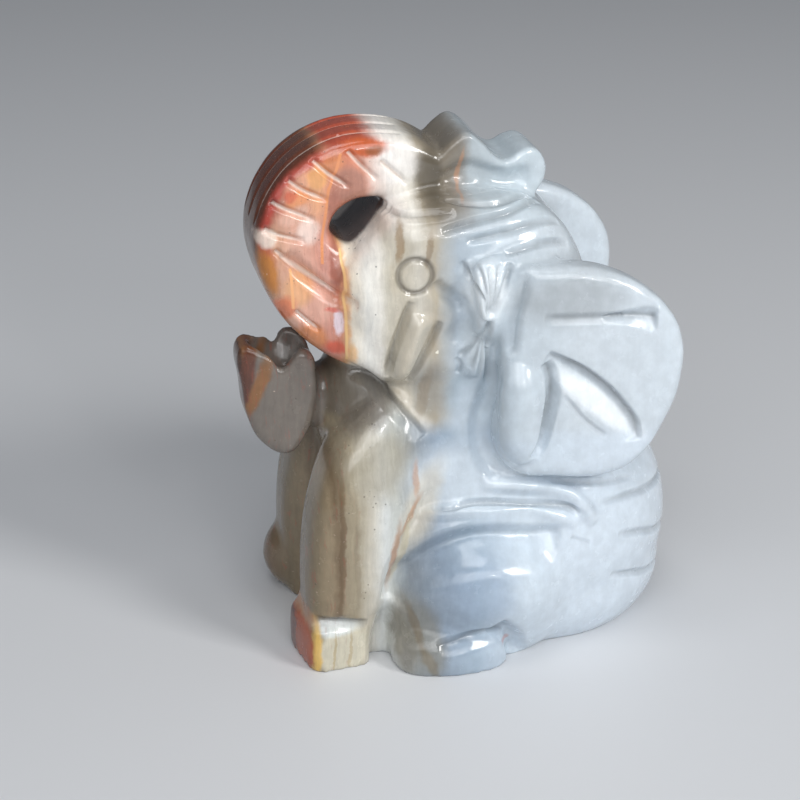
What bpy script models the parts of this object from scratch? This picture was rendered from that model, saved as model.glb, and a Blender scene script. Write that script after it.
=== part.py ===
"""A sitting elephant, its trunk curled up over its head, carved from one banded stone. It faces -Y."""

import math

import bmesh
import bpy
import numpy as np
from mathutils import Matrix, Vector
from mathutils.bvhtree import BVHTree

# Overall size in metres. Every number after it is in forty-eighths of the height, about a millimetre.
HEIGHT = 0.048
UNIT = HEIGHT / 48

# Half widths across the body
SEAT_HALF = 12.2
HEAD_HALF = 9.2
TRUNK_HALF = 4.7
CROWN_HALF = 4.2
JAW_HALF = 3.6
THIGH_OUT = 7.7
FORELEG_OUT = 7.0
FORELEG_HALF = 3.9
FOOT_TURN = 10

# Ears: plates that stand off the neck and lean outwards to the rear
EAR_HALF_THICKNESS = 1.9
EAR_OUT = 10.4
EAR_LEAN = 0.14

# Carved lines
GROOVE_HALF = 0.55
GROOVE_DEPTH = 0.5
FINE_HALF = 0.45
FINE_DEPTH = 0.42
EYE_RADIUS = 1.55
EYE_GROOVE = 0.3

# How far outside the block the rays start that find where a line runs on the stone
RAY_START = 40

# Fineness of the solid
VOXEL = 0.32
TRIANGLES = 9300

# Side outlines as (y, z), closed and smooth
HEAD = [(-11.6, 36), (-11, 31), (-9, 27), (-4, 25), (3, 23.5), (9, 26), (10.8, 32), (9.6, 38), (5.5, 42),
        (0, 42.9), (-4.5, 42.7), (-7, 41.9), (-8.6, 39.9), (-10.3, 38)]
JOWL = [(-11.4, 28.9), (-9.3, 27.4), (-7.3, 25.4), (-5.6, 22.6), (-3.8, 20.9), (-1, 21.3), (1, 25), (1, 32),
        (-4, 36), (-10, 34)]
CROWN = [(-4.8, 41.8), (-4, 43.8), (-2.6, 45.6), (-1.2, 47.1), (0.1, 47.8), (1.4, 47), (2.7, 45.6), (3.9, 45),
         (5, 45.6), (6.2, 45.9), (7.3, 45.1), (7.7, 43.6), (7, 42), (5, 40.6), (0, 40.6)]
JAW = [(-19.9, 28.4), (-19.2, 28.6), (-17.6, 28), (-14, 28.2), (-13.3, 26), (-13.6, 22.5), (-14.6, 19.8),
       (-16.1, 18.3), (-18.1, 19.1), (-19.4, 21.4), (-19.9, 24.5)]
EAR = [(3, 37.4), (5.6, 37.8), (8.6, 37.7), (11.6, 37), (14.2, 35.6), (16.2, 33.7), (17.4, 31.2), (17.5, 27.5),
       (16.2, 23.3), (14, 19.6), (11.2, 18.1), (6.5, 18), (2.9, 18.6), (1.2, 21.2), (1.5, 26.3), (2.2, 34)]
# The trunk's path as (y, z, half width, half thickness), from inside the head to the tip
TRUNK = [(-1, 33, 8.6, 8), (-5.5, 33.2, 8.2, 7.2), (-9.5, 33, 6.9, 6), (-13.3, 35, 5.5, 4.5),
         (-15.4, 39, 4.9, 3.5), (-13.9, 43, 4.8, 3.1), (-10.4, 45.1, 4.7, 3), (-6, 45, 4.5, 2.9),
         (-2.5, 43.7, 4.2, 2.4)]


def clear_scene():
    for thing in list(bpy.data.objects):
        bpy.data.objects.remove(thing, do_unlink=True)


def collection(name):
    made = bpy.data.collections.new(name)
    bpy.context.scene.collection.children.link(made)
    return made


def at(x, y, z):
    return Vector((x, y, z)) * UNIT


def through(points, steps):
    """Rows of numbers on a smooth curve through the given rows."""
    rows = np.array(points, float)
    rows = np.vstack([2 * rows[0] - rows[1], rows, 2 * rows[-1] - rows[-2]])
    made = []
    for a, b, c, d in zip(rows, rows[1:], rows[2:], rows[3:]):
        for t in np.arange(steps) / steps:
            bend = 2 * a - 5 * b + 4 * c - d + t * (3 * b - a - 3 * c + d)
            made.append(b + 0.5 * t * (c - a + t * bend))
    made.append(rows[-2])
    return np.array(made)


def ellipsoid(centre, radii):
    mesh = bmesh.new()
    size = Matrix.Diagonal((*[r * UNIT for r in radii], 1))
    place = Matrix.Translation(at(*centre)) @ size
    bmesh.ops.create_icosphere(mesh, subdivisions=4, radius=1, matrix=place)
    return mesh


def loft(stations, square, sides=32, steps=6):
    """A rounded box carried along stations of (x, y, z, half width across, half thickness), with round ends."""
    rows = through(stations, steps)
    ahead = np.gradient(rows[:, :3], axis=0)
    start = [(-math.cos(math.radians(a)), math.sin(math.radians(a))) for a in (15, 45, 70)]
    end = [(math.cos(math.radians(a)), math.sin(math.radians(a))) for a in (70, 45, 15)]
    mesh = bmesh.new()
    rings = []
    for i, row in enumerate(rows):
        forward = Vector(ahead[i]).normalized()
        across = (Vector((1, 0, 0)) - forward * forward.x).normalized()
        out = across.cross(forward)
        steps_here = start * (i == 0) + [(0, 1)] + end * (i == len(rows) - 1)
        for along, shrink in steps_here:
            centre = Vector(row[:3]) + forward * along * min(row[3], row[4])
            ring = []
            for k in range(sides):
                angle = 2 * math.pi * k / sides
                c, s = math.cos(angle), math.sin(angle)
                wide = math.copysign(abs(c) ** (2 / square), c) * row[3] * shrink
                thick = math.copysign(abs(s) ** (2 / square), s) * row[4] * shrink
                ring.append(mesh.verts.new((centre + across * wide + out * thick) * UNIT))
            rings.append(ring)
    for lower, upper in zip(rings, rings[1:]):
        for k in range(sides):
            n = (k + 1) % sides
            mesh.faces.new((lower[k], lower[n], upper[n], upper[k]))
    mesh.faces.new(rings[0])
    mesh.faces.new(rings[-1])
    bmesh.ops.recalc_face_normals(mesh, faces=mesh.faces)
    return mesh


def slab(outline, half_width, rim, centre=0):
    """A closed smooth side outline thickened to both sides, with a round rim."""
    curve = bpy.data.curves.new("outline", "CURVE")
    curve.dimensions = "2D"
    curve.fill_mode = "BOTH"
    curve.extrude = (half_width - rim) * UNIT
    curve.bevel_depth = rim * UNIT
    curve.bevel_resolution = 4
    curve.offset = -rim * UNIT
    spline = curve.splines.new("BEZIER")
    spline.bezier_points.add(len(outline) - 1)
    for point, (y, z) in zip(spline.bezier_points, outline):
        point.co = at(y, z, 0)
        point.handle_left_type = point.handle_right_type = "AUTO"
    spline.use_cyclic_u = True
    holder = bpy.data.objects.new("outline", curve)
    mesh = taken(holder)
    bmesh.ops.remove_doubles(mesh, verts=mesh.verts, dist=0.001 * UNIT)
    # the curve's plane becomes the side plane
    turn = Matrix(((0, 0, 1, centre * UNIT), (1, 0, 0, 0), (0, 1, 0, 0), (0, 0, 0, 1)))
    mesh.transform(turn)
    return mesh


def taken(holder):
    """The evaluated mesh of an object that is then removed."""
    bpy.context.scene.collection.objects.link(holder)
    bpy.context.view_layer.update()
    graph = bpy.context.evaluated_depsgraph_get()
    data = bpy.data.meshes.new_from_object(holder.evaluated_get(graph))
    bpy.data.objects.remove(holder)
    mesh = bmesh.new()
    mesh.from_mesh(data)
    bpy.data.meshes.remove(data)
    return mesh


def mesh_object(name, mesh):
    data = bpy.data.meshes.new(name)
    mesh.to_mesh(data)
    return bpy.data.objects.new(name, data)


def fused(parts, rounds):
    """The parts as one skin: remeshed by voxels and smoothed."""
    gathered = bmesh.new()
    for part in parts:
        data = bpy.data.meshes.new("piece")
        part.to_mesh(data)
        gathered.from_mesh(data)
        bpy.data.meshes.remove(data)
    holder = mesh_object("fused", gathered)
    remesh = holder.modifiers.new("fuse", "REMESH")
    remesh.mode = "VOXEL"
    remesh.voxel_size = VOXEL * UNIT
    smooth = holder.modifiers.new("round", "SMOOTH")
    smooth.factor = 0.5
    smooth.iterations = round(rounds * (0.4 / VOXEL) ** 2)
    return taken(holder)


def less(mesh, cutter):
    """The mesh with the cutter taken away."""
    tool = mesh_object("tool", cutter)
    bpy.context.scene.collection.objects.link(tool)
    holder = mesh_object("cut", mesh)
    boolean = holder.modifiers.new("cut", "BOOLEAN")
    boolean.operation = "DIFFERENCE"
    boolean.solver = "EXACT"
    boolean.object = tool
    made = taken(holder)
    bpy.data.objects.remove(tool)
    return made


def mirrored(mesh):
    other = mesh.copy()
    other.transform(Matrix.Diagonal((-1, 1, 1, 1)))
    bmesh.ops.reverse_faces(other, faces=other.faces)
    return other


def pair(mesh):
    return [mesh, mirrored(mesh)]


def body():
    """Seat, trunk of the body, thighs and hind feet, rounded together, then the straighter forelegs."""
    parts = [
        ellipsoid((0, 7.2, 9.8), (SEAT_HALF, 13.3, 13.2)),
        ellipsoid((0, 7.3, 5), (SEAT_HALF - 0.6, 12.9, 8.6)),
        ellipsoid((0, -6.5, 21.5), (7, 6.6, 9)),
        loft([(0, 6, 9, SEAT_HALF - 0.9, 11), (0, 2, 17, 10.6, 11.3), (0, 0.5, 25, 9.5, 9.8),
              (0, 1.5, 31, 9.2, 8.8)], 2.2),
        # the stone left standing between the forelegs
        loft([(0, -7, 22, 5, 5), (0, -7, 12, 5, 5), (0, -7, 1, 5.5, 5.4)], 3),
    ]
    parts += pair(ellipsoid((THIGH_OUT, 1, 7.4), (6.5, 10, 9.3)))
    parts += pair(loft([(10.4, 0.4, 1, 3.8, 2.6), (10.4, -2.5, 1.4, 4.3, 3.2), (10.2, -5.2, 1.2, 4, 3)], 2.6))
    parts += pair(ellipsoid((5.4, -3.5, 19.4), (4.5, 6, 6)))
    parts += pair(ellipsoid((4.9, 0.5, 25), (4.3, 6.5, 7.5)))
    # stone left in the gap between each foreleg and thigh
    parts += pair(loft([(6.3, -7.6, 10, 2.2, 1.6), (6.3, -8.3, 5, 2.3, 1.9), (6.3, -8.6, 0, 2.3, 1.9)], 2.6))
    rounded = fused(parts, 14)

    out, half = FORELEG_OUT, FORELEG_HALF
    foreleg = loft([(out - 2.4, -5.4, 22, half - 0.1, 4.4), (out - 1.3, -8, 18.6, half + 0.4, 4.9),
                    (out - 0.5, -10.2, 14.5, half + 0.4, 4.6), (out - 0.1, -11.5, 9.5, half + 0.1, 4.1),
                    (out, -12.3, 4.5, half - 0.1, 3.3), (out + 0.1, -12.6, 1, half - 0.2, 2.6)], 3.6)
    # the left foot is a squared block, its toe turned a little inwards
    left_foot = loft([(0, 0, 4.4, half - 0.4, 2.3), (0, 0, 3.4, half, 2.9), (0, 0, -1, half, 2.9)], 6)
    turn = Matrix.Rotation(math.radians(FOOT_TURN), 4, "Z")
    left_foot.transform(Matrix.Translation(at(out + 0.2, -13.2, 0)) @ turn)
    right_foot = loft([(-out - 0.4, -12, 3, half - 0.3, 3.9), (-out - 0.4, -13.5, 3.4, half - 0.3, 3.8)], 2.3)
    return fused([rounded, left_foot, right_foot] + pair(foreleg), 4)


def head():
    """Flat-sided head with jowls, and the trunk that curls back over it."""
    jowl = slab(JOWL, 3.1, 1.4, centre=HEAD_HALF - 2.9)
    for v in jowl.verts:
        v.co.x += 0.3 * min(0, v.co.y + 5 * UNIT)
    trunk = loft([(0, y, z, half * TRUNK_HALF / 4.7, thick) for y, z, half, thick in TRUNK], 5)
    parts = [slab(HEAD, HEAD_HALF, 4), trunk]
    parts += pair(jowl)
    parts += pair(ellipsoid((HEAD_HALF - 1, 3.5, 34.5), (3.4, 5, 5)))
    return fused(parts, 4)


def crown():
    """The trunk's tip, lying on the head: two lobes with a hollow between, narrower to the rear."""
    mesh = slab(CROWN, CROWN_HALF, 0.5)
    for v in mesh.verts:
        v.co.x *= 1 - 0.05 * max(0, v.co.y / UNIT - 2)
    return mesh


def jaw():
    """The lower lip: a scoop that narrows to its raised tip, with a nick in the rim."""
    scoop = slab(JAW, JAW_HALF, 0.7)
    for v in scoop.verts:
        v.co.x *= 1 - 0.11 * max(0, -15.5 - v.co.y / UNIT)
    scoop = less(scoop, ellipsoid((0, -16.2, 29.5), (2.6, 3, 4.6)))
    nick = bmesh.new()
    bmesh.ops.create_cube(nick, size=2.6 * UNIT)
    nick.transform(Matrix.Diagonal((5, 0.8, 1.2, 1)) @ Matrix.Rotation(math.radians(45), 4, "X"))
    nick.transform(Matrix.Translation(at(0, -16.4, 28.8)) @ Matrix.Rotation(math.radians(8), 4, "Y"))
    scoop = less(scoop, nick)
    throat = loft([(0, -15.4, 22.6, 2.6, 2.6), (0, -8, 23, 2.8, 3.4)], 2.6)
    return [scoop, throat]


def ears():
    mesh = slab(EAR, EAR_HALF_THICKNESS, 1.1, centre=EAR_OUT)
    bmesh.ops.triangulate(mesh, faces=mesh.faces)
    for _ in range(2):
        long_edges = [e for e in mesh.edges if e.calc_length() > UNIT]
        bmesh.ops.subdivide_edges(mesh, edges=long_edges, cuts=1)
        bmesh.ops.triangulate(mesh, faces=mesh.faces)
    for v in mesh.verts:
        y, z = v.co.y / UNIT, v.co.z / UNIT
        v.co.x += (EAR_LEAN * (y - 1) - 0.004 * (y - 9) ** 2 - 0.003 * (z - 28) ** 2) * UNIT
    out = EAR_OUT + 1.8
    roll = loft([(out - 0.8, 3.2, 29.5, 1, 1.2), (out, 3.3, 26.5, 1.6, 1.9), (out, 3.2, 22.5, 1.6, 2),
                 (out - 0.3, 3.4, 21, 1.5, 1.7)], 2)
    right = mirrored(mesh)
    bmesh.ops.translate(right, verts=right.verts, vec=at(0, 0.8, 0.9))
    return [mesh, right] + pair(roll)


def side_rays(points):
    """Rays from the elephant's left towards a side-view path, and the same from its right."""
    path = through(points, 12)
    left = [(at(RAY_START, y, z), Vector((-1, 0, 0))) for y, z in path]
    right = [(at(-RAY_START, y, z), Vector((1, 0, 0))) for y, z in path]
    return [(left, 1), (right, -1)]


def back_rays(points):
    return [([(at(x, RAY_START, z), Vector((0, -1, 0))) for x, z in through(points, 12)], 1)]


def top_rays(points):
    """Rays towards a path on the upper side of the head, as (x, y, height of aim), from above and outside."""
    path = through(points, 12)
    both = []
    for side in (1, -1):
        rays = []
        for x, y, z in path:
            inward = Vector((-0.6 * side, 0, -0.8))
            rays.append((at(side * x, y, z) - inward * 20 * UNIT, inward))
        both.append((rays, side))
    return both


def spine_rays(x, first, last):
    """Rays towards the outer side of the trunk, along its path."""
    path = through([row[:2] for row in TRUNK], 8)[first * 8 : last * 8 + 1]
    ahead = np.gradient(path, axis=0)
    rays = []
    for (y, z), (dy, dz) in zip(path, ahead):
        inward = Vector((0, -dz, dy)).normalized() * -1
        rays.append((at(x, y, z) - inward * 8 * UNIT, inward))
    return [(rays, 1)]


def stroke(rays, depth, left, right=None, soft=False, ends=(0.15, 0.15), flare=1):
    """A line to carve, or to raise where the depth is below zero. Left and right are its half widths."""
    return {"rays": rays, "depth": depth, "left": left, "right": right or left, "soft": soft, "ends": ends,
            "flare": flare}


def forms():
    """The wide forms: swellings and hollows."""
    made = []

    def form(points, depth, left, right=None, **more):
        made.append(stroke(side_rays(points), depth, left, right, soft=True, **more))

    # the lip under the trunk, the swelling of the mouth, the corner of the eye
    form([(-16.2, 38.3), (-14.9, 36.6), (-12.4, 34.6), (-10.4, 34)], 0.6, 1.1)
    form([(-4.9, 33.2), (-6, 30.4), (-6.9, 27)], -0.8, 1.3)
    form([(-4.1, 36), (-3, 34.9), (-1.4, 33.6)], 0.7, 1.1)
    # the gathered folds between eye and ear stand out, with a hollow on each side
    form([(0.3, 38.2), (0.55, 33.4), (-0.3, 27)], -0.9, 1.7)
    form([(0.55, 33.4), (0.5, 35.8), (0.4, 38.2)], -0.6, 2.5, flare=0.3)
    form([(3.4, 37.4), (2.4, 33.4), (2.1, 30)], 0.7, 1.2)
    form([(-2.6, 35.6), (-1.4, 33), (-2.4, 30.3)], 0.4, 1.2)
    # the crown's hollow side
    form([(-2.4, 43.8), (0.4, 44.6), (3.6, 43.2), (6, 43.6)], 0.4, 1.2)
    # behind the jowl
    form([(1.6, 28.2), (1, 25.5), (0.1, 22.6), (0.4, 20), (1.8, 17.8)], 1, 1.3)
    # flank: two ridges that meet at the hip, the valley round the thigh, and the thigh's swelling
    form([(-5.5, 14.2), (-1.5, 14.9), (3.5, 14.7), (6.6, 14), (9, 12.9)], -0.5, 1)
    form([(0.2, 17.2), (4.3, 16.7), (7.9, 15.8), (9.4, 14.6), (10.6, 12.6)], -0.7, 1.1)
    form([(-8.6, 6.4), (-7.3, 9.8), (-4.7, 12.1), (-1.9, 13.2), (1.1, 13.4), (4.5, 12.9), (7.3, 12.2)],
         1.6, 0.9, 4.2)
    form([(-1.5, 7.2), (1, 7.6), (3.5, 7)], -0.7, 5, ends=(0, 0))
    # the hollow behind the hind foot
    form([(0.9, 4.8), (2.3, 3.2), (3.2, 1.1), (3.6, -2.5)], 1.1, 1.3, ends=(0.1, 0.1))
    return made


def cuts():
    """The carved lines, sharper than the forms."""
    made = []

    def cut(points, depth=GROOVE_DEPTH, left=GROOVE_HALF, right=None, **more):
        made.append(stroke(side_rays(points), depth, left, right, **more))

    # slanting cuts round the side of the trunk, from its crest inwards
    for points in ([(-7.7, 45.9), (-6.5, 44.8), (-5.3, 43.6)], [(-10.6, 47), (-9.4, 45.6), (-7.9, 44.2)],
                   [(-13.7, 46.4), (-12.2, 45), (-10.3, 43.7)], [(-15.9, 44.7), (-14.3, 43.6), (-12.3, 42.7)],
                   [(-17.4, 42.8), (-15.6, 41.9), (-13.5, 41)], [(-18.1, 40.4), (-16.6, 39.8), (-14.4, 39.2)],
                   [(-17.2, 38.6), (-15.4, 37), (-13.2, 35.3), (-11.5, 34.2)],
                   [(-15.6, 33), (-14.5, 32), (-13.4, 31.2)]):
        cut(points, ends=(0.02, 0.3))
    # two long grooves down its outer side
    for x in (-2.1, 2.1):
        made.append(stroke(spine_rays(x, 4, 7), FINE_DEPTH, GROOVE_HALF))
    # mouth
    cut([(-6, 34.6), (-6.9, 32.2), (-7.7, 29.8), (-8, 27.2)], 0.8, 0.7, 0.5)
    cut([(-3.3, 32.5), (-4.1, 30.7), (-5.1, 28.7), (-6.1, 26.6)], 0.7, 0.5, 0.7)
    # under the jowl
    cut([(-10.4, 27.1), (-8.6, 26.3), (-6.9, 24.4), (-4.8, 21.8)], 0.8, 0.5, 1.3, ends=(0.1, 0.6))
    # folds between eye and ear, in a fan above and below the waist
    for top in (-1.2, 0, 1.2, 2.4):
        cut([(top, 37.9), (0.5 * top + 0.3, 35.6), (0.12 * top + 0.5, 33.5)], 0.5, FINE_HALF)
    for foot in (-1.5, -0.3, 0.9):
        path = [(0.08 * foot + 0.5, 33.1), (0.5 * foot + 0.2, 30.4), (foot, 27.2 - 1.1 * foot)]
        cut(path, FINE_DEPTH, FINE_HALF)
    # wrinkles over the head
    for path in ([(6.3, -2.8, 42.7), (7.1, -0.3, 42.3), (7, 2.4, 42.2), (4.6, 5.6, 42)],
                 [(8.8, -3.2, 40.5), (8.4, -0.2, 41.1), (7.8, 3.1, 41.6), (5.1, 6.3, 41.5)],
                 [(9.1, -1.2, 39.6), (9, 1.2, 40), (8.6, 3.8, 40.3), (6.5, 7.8, 40)],
                 [(9.9, 2.1, 38.5), (9.7, 4, 38.9), (8.9, 6, 39), (7.5, 8.5, 38.3)]):
        made.append(stroke(top_rays(path), FINE_DEPTH, GROOVE_HALF))
    # ear: a slit that opens to a pit, and two deep folds
    cut([(5, 33.4), (8.2, 33.4), (12, 33.4)], 0.3, 0.5, 0.8)
    cut([(10, 33.4), (12.6, 33.4), (14.9, 33.2)], 0.8, 1.3, 1.6, flare=0.15, ends=(0.3, 0.08))
    cut([(5.4, 30.2), (8.3, 28.75), (10.5, 27), (12.2, 25.1), (13.3, 23.5), (13.6, 21.7)], 1.1, 0.5, 2.2)
    cut([(5.1, 29.2), (5.6, 28), (5.75, 26), (5.4, 24), (4.9, 21.8), (4.2, 20.4)], 1.1, 0.9, 0.5)
    # flank
    cut([(-4, 15), (-0.1, 15.6), (4.3, 15.2), (7.7, 14.7), (9.2, 14)], 0.5, FINE_HALF, GROOVE_HALF)
    # hind foot's flat top
    cut([(-6, 3.3), (-4, 3.6), (-1.5, 3.9), (1, 3.9), (2, 3.4)], 0.7, 0.5, 1.6)
    # forelegs: two edges down each, and the crease over the foot
    cut([(-11.4, 21), (-12.2, 16.3), (-12.6, 7), (-12.7, 5.3)], -0.3, 1.1)
    cut([(-6.3, 15.6), (-7.7, 12.3), (-9.1, 9.6), (-9.8, 5)], -0.3, 1)
    cut([(-15.2, 5.2), (-12.8, 4.9), (-10.2, 4.4)], 0.6, 0.45, 1.2)
    # ribs across the rump
    for a, b, c, d in ((14.3, 14.2, 13.7, 13.3), (11, 10.3, 9.1, 8.3), (6.9, 6.1, 5, 4.4)):
        path = [(-10.8, a), (-9.3, b), (-6.4, c), (0, d), (6.4, c), (9.3, b), (10.8, a)]
        made.append(stroke(back_rays(path), FINE_DEPTH, GROOVE_HALF))
    return made


def carve(skin, lines):
    """Moves the skin along its normals by every stroke."""
    skin.normal_update()
    tree = BVHTree.FromBMesh(skin)
    places = np.array([v.co for v in skin.verts])
    normals = np.array([v.normal for v in skin.verts])
    moved = np.zeros(len(places))
    for line in lines:
        for rays, side in line["rays"]:
            hits = [tree.ray_cast(origin, direction) for origin, direction in rays]
            hits = [hit for hit in hits if hit[0] is not None]
            path = np.array([hit[0] for hit in hits])
            facing = np.array([hit[1] for hit in hits])
            ahead = np.gradient(path, axis=0)
            widest = max(line["left"], line["right"]) * UNIT
            low, high = path.min(axis=0) - widest, path.max(axis=0) + widest
            near = np.flatnonzero(((places > low) & (places < high)).all(axis=1))
            gaps = places[near, None] - path[None]
            closest = (gaps**2).sum(axis=2).argmin(axis=1)
            gap = gaps[np.arange(len(near)), closest]
            far = np.linalg.norm(gap, axis=1)
            turned = side * (gap * np.cross(facing[closest], ahead[closest])).sum(axis=1)
            along = closest / (len(path) - 1)
            width = np.where(turned > 0, line["left"], line["right"]) * UNIT
            width = width * (line["flare"] + (1 - line["flare"]) * along)
            fall = np.clip(1 - far / width, 0, 1)
            shape = fall * fall * (3 - 2 * fall) if line["soft"] else fall
            taper = np.ones(len(near))
            for share, way in zip(line["ends"], (along, 1 - along)):
                if share:
                    taper *= np.clip(way / share, 0, 1) ** 0.5
            same_side = (normals[near] * facing[closest]).sum(axis=1) > 0.1
            moved[near] -= line["depth"] * UNIT * shape * taper * same_side
    for v, shift, normal in zip(skin.verts, moved, normals):
        v.co += Vector(normal * shift)


def sole_cutter():
    """A block whose top is the ground the figure stands on."""
    mesh = bmesh.new()
    bmesh.ops.create_cube(mesh, size=60 * UNIT, matrix=Matrix.Translation(at(0, 0, -30)))
    return mesh


def eye_cutter(tree, side):
    """A ring that drills a round groove for the eye, square to the head's side."""
    place, facing, _, _ = tree.ray_cast(at(RAY_START * side, -5.6, 36.8), Vector((-side, 0, 0)))
    turns, around = 28, 8
    mesh = bmesh.new()
    rings = []
    for i in range(turns):
        turn = Matrix.Rotation(2 * math.pi * i / turns, 3, "Z")
        ring = []
        for k in range(around):
            angle = 2 * math.pi * k / around
            spot = Vector((EYE_RADIUS + EYE_GROOVE * math.cos(angle), 0, EYE_GROOVE * math.sin(angle)))
            ring.append(mesh.verts.new(turn @ spot * UNIT))
        rings.append(ring)
    for i in range(turns):
        for k in range(around):
            n = (k + 1) % around
            mesh.faces.new((rings[i - 1][k], rings[i - 1][n], rings[i][n], rings[i][k]))
    bmesh.ops.recalc_face_normals(mesh, faces=mesh.faces)
    mesh.transform(Matrix.Translation(place) @ facing.to_track_quat("Z", "Y").to_matrix().to_4x4())
    return mesh


def stone():
    material = bpy.data.materials.new("banded_stone")
    material.use_nodes = True
    shader = material.node_tree.nodes["Principled BSDF"]
    shader.inputs["Base Color"].default_value = (0.56, 0.55, 0.53, 1)
    shader.inputs["Roughness"].default_value = 0.2
    shader.inputs["Coat Weight"].default_value = 0.3
    return material


def cut_with(thing, cutter, group):
    group.objects.link(cutter)
    cutter.hide_render = True
    cutter.display_type = "WIRE"
    boolean = thing.modifiers.new(cutter.name, "BOOLEAN")
    boolean.operation = "DIFFERENCE"
    boolean.solver = "EXACT"
    boolean.object = cutter


def build():
    clear_scene()
    figure = collection("elephant")
    cutters = collection("cutters")
    skin = fused([body(), head(), crown()] + jaw() + ears(), 2)
    tree = BVHTree.FromBMesh(skin)
    carve(skin, forms())
    carve(skin, cuts())
    bmesh.ops.triangulate(skin, faces=skin.faces)
    count = len(skin.faces)
    elephant = mesh_object("elephant", skin)
    figure.objects.link(elephant)
    elephant.data.materials.append(stone())
    elephant.data.shade_smooth()
    decimate = elephant.modifiers.new("fewer", "DECIMATE")
    decimate.ratio = TRIANGLES / count
    cut_with(elephant, mesh_object("sole", sole_cutter()), cutters)
    cut_with(elephant, mesh_object("eye_left", eye_cutter(tree, 1)), cutters)
    cut_with(elephant, mesh_object("eye_right", eye_cutter(tree, -1)), cutters)


build()
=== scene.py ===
"""The carved elephant in full fineness: banded stone, soft studio light and the camera."""

import math

import bmesh
import bpy
import numpy as np
from mathutils import Matrix, Vector, noise
from mathutils.bvhtree import BVHTree


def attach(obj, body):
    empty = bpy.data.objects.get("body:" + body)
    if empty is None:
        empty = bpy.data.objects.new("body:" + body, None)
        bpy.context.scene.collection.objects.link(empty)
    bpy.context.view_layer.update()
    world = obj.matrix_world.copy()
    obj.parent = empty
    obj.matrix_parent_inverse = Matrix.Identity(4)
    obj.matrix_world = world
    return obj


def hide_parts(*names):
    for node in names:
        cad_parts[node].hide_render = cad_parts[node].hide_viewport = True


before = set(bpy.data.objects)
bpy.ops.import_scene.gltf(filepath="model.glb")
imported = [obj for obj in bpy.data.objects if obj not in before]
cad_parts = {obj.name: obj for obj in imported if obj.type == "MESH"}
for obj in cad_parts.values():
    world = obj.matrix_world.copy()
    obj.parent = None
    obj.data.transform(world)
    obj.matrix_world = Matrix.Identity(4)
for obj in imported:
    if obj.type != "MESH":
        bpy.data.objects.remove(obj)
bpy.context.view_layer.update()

# Lengths are in millimetres until they meet UNIT
UNIT = 0.001

# Fineness: voxels of the finished skin and of what is rounded before it, and the triangles that are kept
VOXEL = 0.24
ROUGH_VOXEL = 0.3
TRIANGLES = 188000
# Rounds of smoothing are counted for a skin of this voxel size
ROUNDS_VOXEL = 0.4
SPHERE_LEVEL = 5
LOFT_SIDES = 64
LOFT_STEPS = 12
LOFT_END_ANGLES = (15, 30, 45, 60, 75)
OUTLINE_STEPS = 24
RIM_STEPS = 8
# Longest step between the points of a carved line
PATH_STEP = 0.12

# Half widths across the elephant, and how far out to the side its limbs and ears are
SEAT_HALF = 12.2
HEAD_HALF = 9.2
CROWN_HALF = 4.2
CROWN_TAPER = 0.05
JAW_HALF = 3.6
JAW_TAPER = 0.11
THIGH_OUT = 7.7
FORELEG_OUT = 7.0
FORELEG_HALF = 3.9
FOOT_TURN = 10
EAR_HALF_THICKNESS = 1.9
EAR_OUT = 10.4
# An ear leans outwards from its root at y 1 and bows round its middle, per millimetre squared
EAR_LEAN = 0.14
EAR_ROOT = 1
EAR_MIDDLE = (9, 28)
EAR_BOW = (0.004, 0.003)
RIGHT_EAR_SHIFT = (0, 0.8, 0.9)
EYE_CENTRE = (-5.6, 36.8)
EYE_RADIUS = 1.52
# The nick in the lower lip's rim: its middle, and the side of the cube that cuts it
NICK_PLACE = (0, -16.4, 28.8)
NICK_SIZE = 2.6

# How far outside the stone the rays start that lay a stroke on it
SIDE_START = 40
TOP_START = 20
SPINE_START = 8
# Steps between two stations of the trunk, and round a drilled ring
SPINE_STEPS = 40
CIRCLE_STEPS = 16
# Half width of the darkened line at the bottom of a cut, dull stone with painted shade, and the depth at which
# it is fully dark
DULL_SHADE_HALF = 0.5
DULL_SHADE_DEPTH = 0.5
# What the skin keeps at each point: how frosted a cut is there, and how dull and darkened with painted shade
CUT_MARKS = ("scratch", "dull_shade")
# Waves left by grinding and polishing by hand, as (height, length)
POLISH_WAVES = ((0.05, 4.5), (0.02, 1.6))
# What lies this little above the ground is flattened onto it
SOLE_GAP = 0.03
GROUND_BLOCK = 60

# Side outlines as (y, z), closed and smooth
HEAD = [(-11.6, 36), (-11, 31), (-9, 27), (-4, 25), (3, 23.5), (9, 26), (10.8, 32), (9.6, 38), (5.5, 42),
        (0, 42.9), (-4.5, 42.7), (-7, 41.9), (-8.6, 39.9), (-10.3, 38)]
JOWL = [(-11.4, 28.9), (-9.3, 27.4), (-7.3, 25.4), (-5.6, 22.6), (-3.8, 20.9), (-1, 21.3), (1, 25), (1, 32),
        (-4, 36), (-10, 34)]
CROWN = [(-4.8, 41.8), (-4, 43.8), (-2.6, 45.6), (-1.2, 47.1), (0.1, 47.8), (1.4, 47), (2.7, 45.6), (3.9, 45),
         (5, 45.6), (6.2, 45.9), (7.3, 45.1), (7.7, 43.6), (7, 42), (5, 40.6), (0, 40.6)]
JAW = [(-19.9, 28.4), (-19.2, 28.6), (-17.6, 28), (-14, 28.2), (-13.3, 26), (-13.6, 22.5), (-14.6, 19.8),
       (-16.1, 18.3), (-18.1, 19.1), (-19.4, 21.4), (-19.9, 24.5)]
EAR = [(3, 37.4), (5.6, 37.8), (8.6, 37.7), (11.6, 37), (14.2, 35.6), (16.2, 33.7), (17.4, 31.2), (17.5, 27.5),
       (16.2, 23.3), (14, 19.6), (11.2, 18.1), (6.5, 18), (2.9, 18.6), (1.2, 21.2), (1.5, 26.3), (2.2, 34)]
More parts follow.
